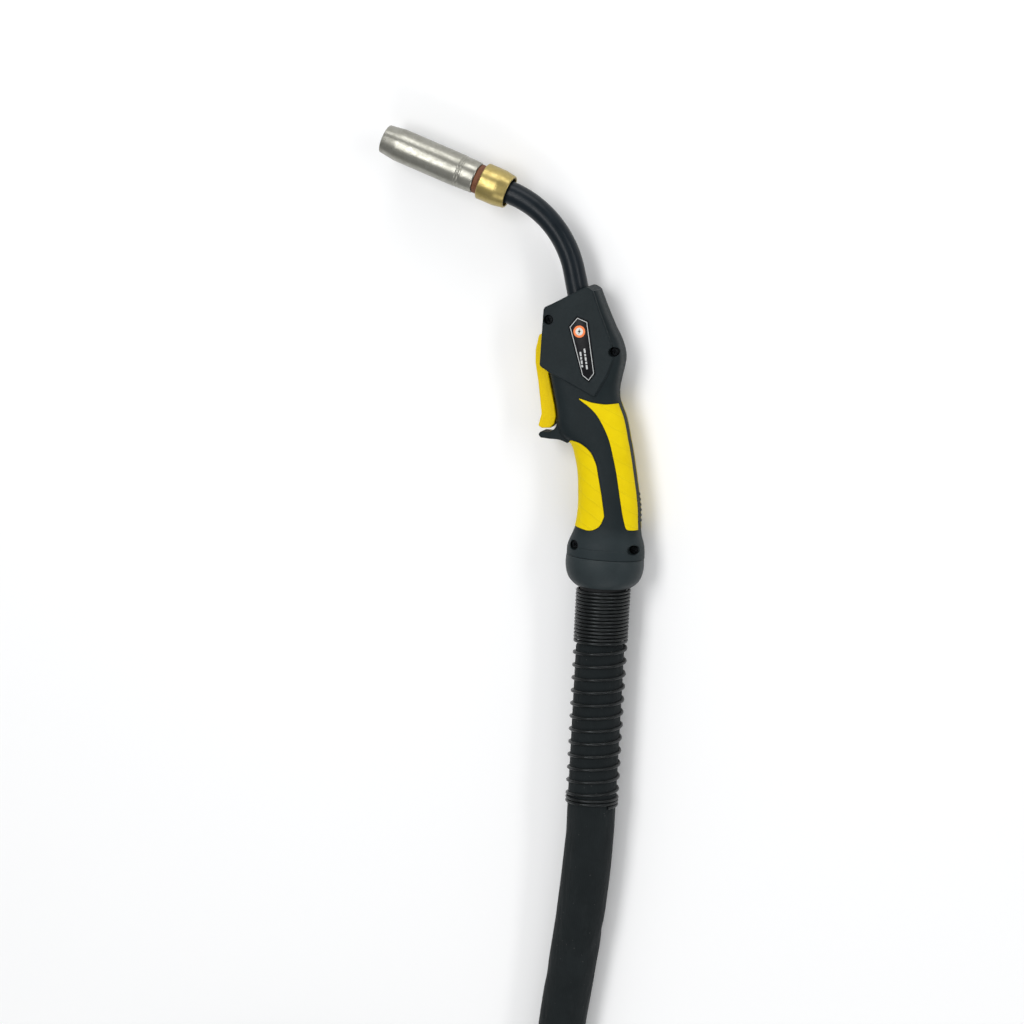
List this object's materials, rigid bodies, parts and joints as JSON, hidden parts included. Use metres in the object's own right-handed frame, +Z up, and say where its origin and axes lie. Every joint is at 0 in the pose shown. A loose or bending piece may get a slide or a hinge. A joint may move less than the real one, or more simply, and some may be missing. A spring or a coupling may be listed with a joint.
{
  "type": "MIG welding torch",
  "caption": "Hand-held MIG welding torch with bent neck, nozzle, trigger grip, spring strain relief and a jacketed cable coiled to its machine connector.",
  "frame": {"origin": "on the surface the torch lies on, under the middle of the torch without its cable (box bottom centre)", "axes": "+Z up out of the surface through the parting plane of the grip, +Y along the grip from the cable towards the neck, +X towards the back of the grip"},
  "size_m": [0.4469, 1.1594, 0.0875],
  "materials": {
    "shell": "fine-grained black nylon, semi-matt",
    "grip_pads": "soft yellow overmould with faint diagonal lines",
    "trigger": "satin yellow plastic",
    "nozzle": "satin nickel-plated copper",
    "brass": "turned brass",
    "copper": "bright turned copper alloy",
    "insulator": "brown moulded insulator",
    "neck_cover": "smooth glossy black cover",
    "badge": "printed black plate, plain marks only",
    "steel": "bare steel",
    "black_steel": "black oxide and lacquered spring steel",
    "sheath": "black coated fabric jacket, matt",
    "rubber": "black rubber",
    "gas_hose": "dark blue hose",
    "leads": "red insulated leads"
  },
  "bodies": {
    "torch": {"handle_shell_near": "shell", "handle_shell_far": "shell", "rear_cap": "shell", "cable_support": "shell", "microswitch_body": "shell", "connector_housing_upper": "shell", "connector_housing_lower": "shell", "grip_pad_front_near": "grip_pads", "grip_pad_front_far": "grip_pads", "grip_pad_back_near": "grip_pads", "grip_pad_back_far": "grip_pads", "neck_head": "brass", "tip_adaptor": "brass", "gas_diffuser": "brass", "neck_clamp": "brass", "connector_body": "brass", "connector_wire_tube": "brass", "contact_tip": "copper", "neck_conductor": "copper", "nozzle_insulator": "insulator", "neck_sleeve": "neck_cover", "badge_plate": "badge", "wire_liner": "steel", "clamp_screw": "steel", "trigger_pin": "steel", "trigger_spring": "steel", "pin_spring_a": "steel", "pin_spring_b": "steel", "support_spring": "black_steel", "screw_head_front": "black_steel", "screw_head_back": "black_steel", "screw_collar_front": "black_steel", "screw_collar_back": "black_steel", "connector_screw_a": "black_steel", "connector_screw_b": "black_steel", "cable_sheath": "sheath", "cable_coil": "sheath", "cable_tail": "sheath", "power_cable": "rubber", "connector_boot": "rubber", "connector_o_ring": "rubber", "gas_hose": "gas_hose", "switch_leads": "leads"},
    "trigger_lever": {"trigger": "trigger"},
    "switch_button": {"switch_plunger": "trigger"},
    "nozzle_cup": {"nozzle": "nozzle"},
    "nut": {"union_nut": "brass"},
    "lock_ring": {"connector_lock_ring": "shell"},
    "pin_a": {"control_pin_a": "brass"},
    "pin_b": {"control_pin_b": "brass"}
  },
  "joints": [
    {"name": "trigger_pull", "type": "hinge", "parent": "torch", "child": "trigger_lever", "pos_m": [0.02905, 0.0998, 0.02366], "axis": [0, 0, 1], "range_deg": [0, 6], "stiffness_Nm_per_rad": 2, "springref_deg": -4.58, "deforming": ["trigger_spring"]},
    {"name": "switch_press", "type": "slide", "parent": "torch", "child": "switch_button", "axis": [1, 0, 0], "range_m": [0, 0.0018]},
    {"name": "nozzle_pull", "type": "slide", "parent": "torch", "child": "nozzle_cup", "axis": [-0.9473, 0.3203, 0], "range_m": [0, 0.085]},
    {"name": "nut_turn", "type": "hinge", "parent": "torch", "child": "nut", "pos_m": [-0.0195, 0.21113, 0.02366], "axis": [-0.9473, 0.3203, 0], "continuous": true},
    {"name": "lock_ring_turn", "type": "hinge", "parent": "torch", "child": "lock_ring", "pos_m": [-0.24745, -0.8737, 0.0615], "axis": [-1, 0, 0], "continuous": true},
    {"name": "pin_a_press", "type": "slide", "parent": "torch", "child": "pin_a", "axis": [1, 0, 0], "range_m": [0, 0.004], "stiffness_N_per_m": 400, "springref_m": -0.003, "deforming": ["pin_spring_a"]},
    {"name": "pin_b_press", "type": "slide", "parent": "torch", "child": "pin_b", "axis": [1, 0, 0], "range_m": [0, 0.004], "stiffness_N_per_m": 400, "springref_m": -0.003, "deforming": ["pin_spring_b"]}
  ],
  "couplings": [
    {"joint": "switch_press", "follows": "trigger_pull", "m_per_rad": 0.015}
  ]
}
